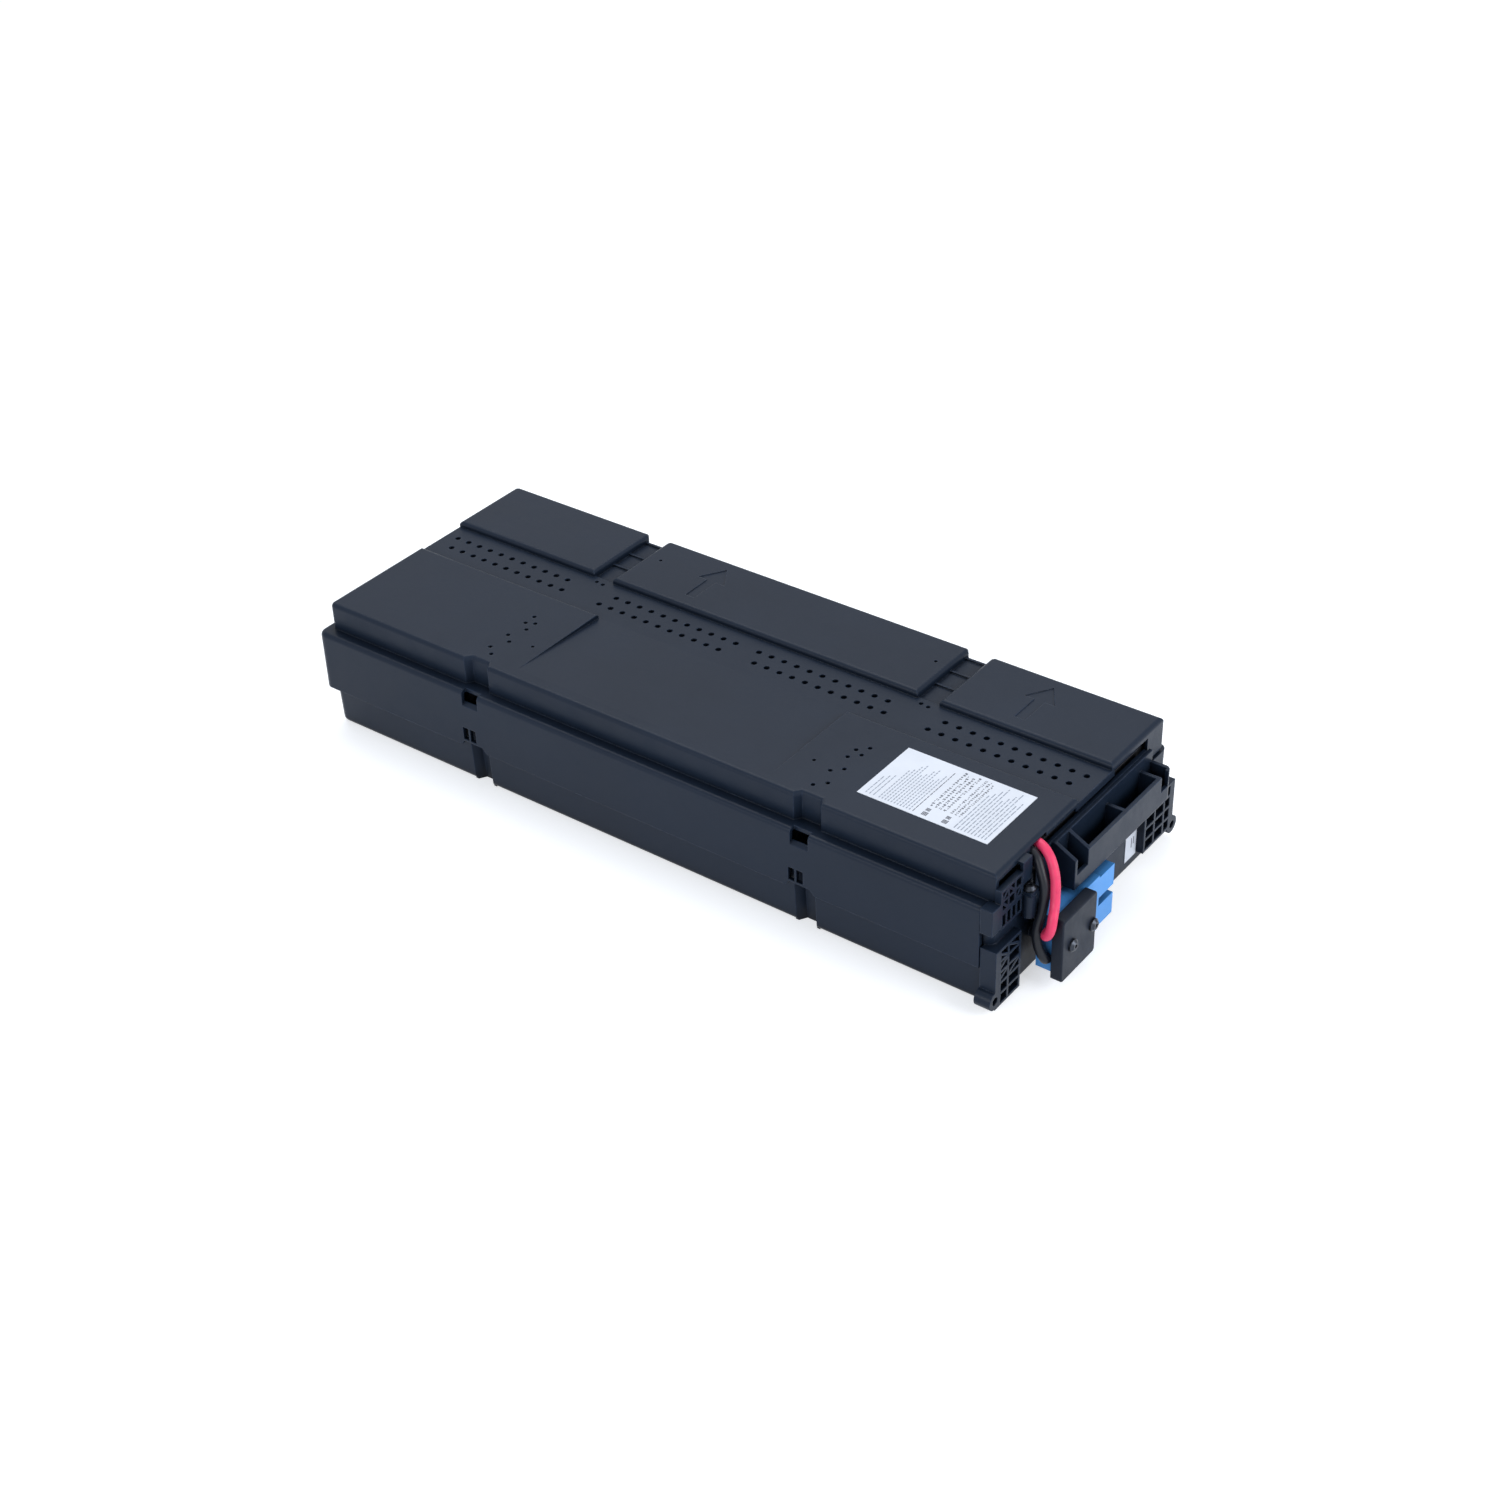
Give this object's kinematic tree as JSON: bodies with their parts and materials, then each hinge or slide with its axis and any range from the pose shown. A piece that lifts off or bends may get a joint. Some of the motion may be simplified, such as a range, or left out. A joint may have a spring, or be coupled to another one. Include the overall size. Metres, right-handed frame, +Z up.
{
  "type": "ups battery cartridge",
  "caption": "Replacement battery cartridge for an uninterruptible power supply: moulded tray and vented cover, pull handle, lattice corners and a plug-in power connector.",
  "frame": {"origin": "on the underside of the tray, halfway along the cover and on its lengthwise centre line", "axes": "+X along the cartridge to the connector end, +Y across it to the side with three pads, +Z up"},
  "size_m": [0.4595, 0.18, 0.0774],
  "materials": {
    "tray_plastic": "satin moulded plastic, fine grain",
    "cover_plastic": "satin moulded plastic, fine grain",
    "handle_plastic": "satin moulded plastic",
    "plate_plastic": "satin machined plastic",
    "receptacle_tin": "tinned",
    "connector_blue": "satin moulded plastic",
    "contact_silver": "silver plated",
    "screw_steel": "black zinc",
    "foam": "open foam",
    "label_paper": "satin film",
    "lead_black": "satin insulation",
    "lead_red": "satin insulation",
    "battery_case": "satin",
    "battery_lid": "satin",
    "tab_tin": "tinned"
  },
  "bodies": {
    "root": {"tray": "tray_plastic", "top_cover": "cover_plastic", "pull_handle": "handle_plastic", "tab_receptacles": "receptacle_tin", "connector_housing": "connector_blue", "lower_contact": "contact_silver", "upper_contact": "contact_silver", "grip_plate": "plate_plastic", "grip_plate_screws": "screw_steel", "handle_screws": "screw_steel", "cover_screw": "screw_steel", "centre_foam": "foam", "end_foam": "foam", "vent_foam": "foam", "rating_label": "label_paper", "end_label": "label_paper", "black_lead": "lead_black", "jumper_1_2": "lead_black", "jumper_3_4": "lead_black", "red_lead": "lead_red", "jumper_2_3": "lead_red", "battery_case_1": "battery_case", "battery_lid_1": "battery_lid", "vent_strip_1": "battery_lid", "terminal_tabs_1": "tab_tin", "battery_case_2": "battery_case", "battery_lid_2": "battery_lid", "vent_strip_2": "battery_lid", "terminal_tabs_2": "tab_tin", "battery_case_3": "battery_case", "battery_lid_3": "battery_lid", "vent_strip_3": "battery_lid", "terminal_tabs_3": "tab_tin", "battery_case_4": "battery_case", "battery_lid_4": "battery_lid", "vent_strip_4": "battery_lid", "terminal_tabs_4": "tab_tin"}
  },
  "joints": []
}
